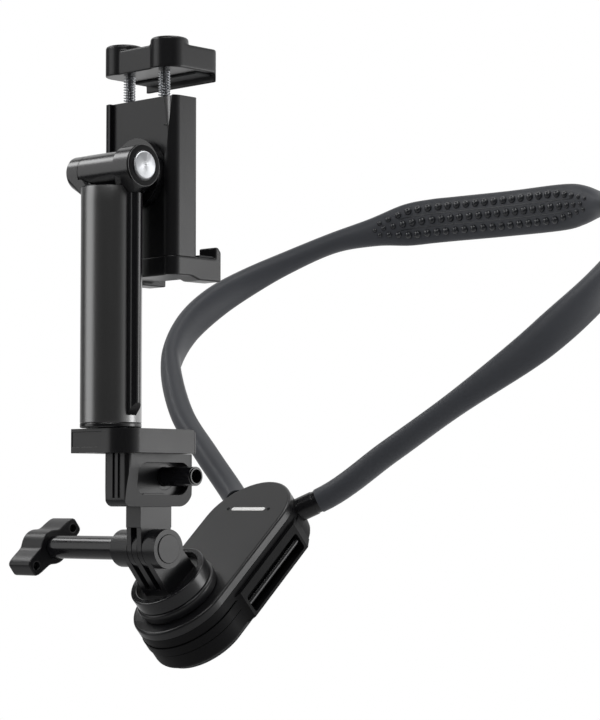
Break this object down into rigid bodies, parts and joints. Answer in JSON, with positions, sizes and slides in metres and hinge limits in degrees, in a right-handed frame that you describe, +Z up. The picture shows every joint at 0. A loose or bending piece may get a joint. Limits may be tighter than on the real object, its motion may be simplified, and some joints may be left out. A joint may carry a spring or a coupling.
{
  "type": "neck phone holder",
  "caption": "Rubber-covered neck loop on a chest base, with a swivelling fork, a tilting arm and column, and a sprung clamp that holds a phone.",
  "frame": {"origin": "middle of the nape pad's inner face, where the loop rests on the back of the neck", "axes": "+Z up, -Y the way the wearer looks, +X to the side of the release pin and the hinge's metal disc"},
  "size_m": [0.2588, 0.2807, 0.2638],
  "materials": {
    "satin_black": "satin moulded",
    "gloss_black": "gloss black anodised tube",
    "screw_steel": "plain steel",
    "bright_steel": "bright steel",
    "disc_metal": "spun, concentric turning marks",
    "pale_strip": "pale translucent strip",
    "silicone": "matt silicone with domed nubs at the nape",
    "soft_pad": "matt",
    "dark_bar": "gloss",
    "cast_grey": "as cast"
  },
  "bodies": {
    "base": {"front_cover": "satin_black", "rear_housing": "satin_black", "face_strip": "pale_strip", "chest_pad": "soft_pad", "housing_screws": "screw_steel", "slot_bars": "dark_bar", "core_clamp": "cast_grey", "ferrule_left": "satin_black", "ferrule_right": "satin_black", "neck_band": "silicone", "neck_core": "bright_steel"},
    "turret": {"turret_hub": "satin_black", "turret_collar": "satin_black", "fork": "satin_black", "swivel_retainer": "screw_steel", "swivel_screw": "screw_steel", "fork_nut": "screw_steel", "nut_cap": "satin_black"},
    "thumb_screw": {"screw_shaft": "bright_steel", "screw_sleeve": "satin_black", "screw_knob": "satin_black"},
    "arm": {"finger_mount": "satin_black", "finger_screw": "screw_steel", "block_housing": "satin_black", "pin_bush": "cast_grey", "foot_plate": "satin_black", "plate_screws": "screw_steel"},
    "release_button": {"release_pin": "satin_black", "pin_spring": "bright_steel"},
    "column": {"column_foot": "satin_black", "column_tube": "gloss_black", "side_rail": "satin_black", "column_head": "satin_black", "pan_nut": "screw_steel", "hinge_pin": "bright_steel", "disc_cap": "disc_metal", "end_cap": "satin_black"},
    "tilt_head": {"hinge_block": "satin_black", "spin_pin": "bright_steel", "spin_nut": "screw_steel"},
    "clamp": {"clamp_body": "satin_black", "back_pad": "soft_pad", "lower_jaw": "satin_black", "lower_jaw_pads": "soft_pad", "spring_anchors": "screw_steel", "jaw_springs": "bright_steel"},
    "jaw": {"top_jaw": "satin_black", "top_jaw_pad": "soft_pad", "guide_rods": "bright_steel"}
  },
  "joints": [
    {"name": "turret_swivel", "type": "hinge", "parent": "base", "child": "turret", "pos_m": [0, -0.23752, -0.16196], "axis": [0, -0.6691, 0.7431], "continuous": true},
    {"name": "fork_tilt", "type": "hinge", "parent": "turret", "child": "arm", "pos_m": [0, -0.23752, -0.16196], "axis": [1, 0, 0], "range_deg": [-30, 75]},
    {"name": "thumb_screw_turn", "type": "hinge", "parent": "turret", "child": "thumb_screw", "pos_m": [0, -0.23752, -0.16196], "axis": [1, 0, 0], "continuous": true},
    {"name": "release_press", "type": "slide", "parent": "arm", "child": "release_button", "axis": [-1, 0, 0], "range_m": [0, 0.0025], "stiffness_N_per_m": 600, "springref_m": -0.002},
    {"name": "column_pan", "type": "hinge", "parent": "arm", "child": "column", "pos_m": [0, -0.25902, -0.11216], "axis": [0, 0, 1], "continuous": true},
    {"name": "clamp_tilt", "type": "hinge", "parent": "column", "child": "tilt_head", "pos_m": [0, -0.25902, -0.00516], "axis": [1, 0, 0], "range_deg": [0, 90]},
    {"name": "clamp_spin", "type": "hinge", "parent": "tilt_head", "child": "clamp", "pos_m": [0, -0.25902, -0.00516], "axis": [0, 1, 0], "continuous": true},
    {"name": "jaw_slide", "type": "slide", "parent": "clamp", "child": "jaw", "axis": [0, 0, 1], "range_m": [-0.011, 0.013], "stiffness_N_per_m": 300, "springref_m": 0.001, "deforming": ["jaw_springs"]}
  ]
}
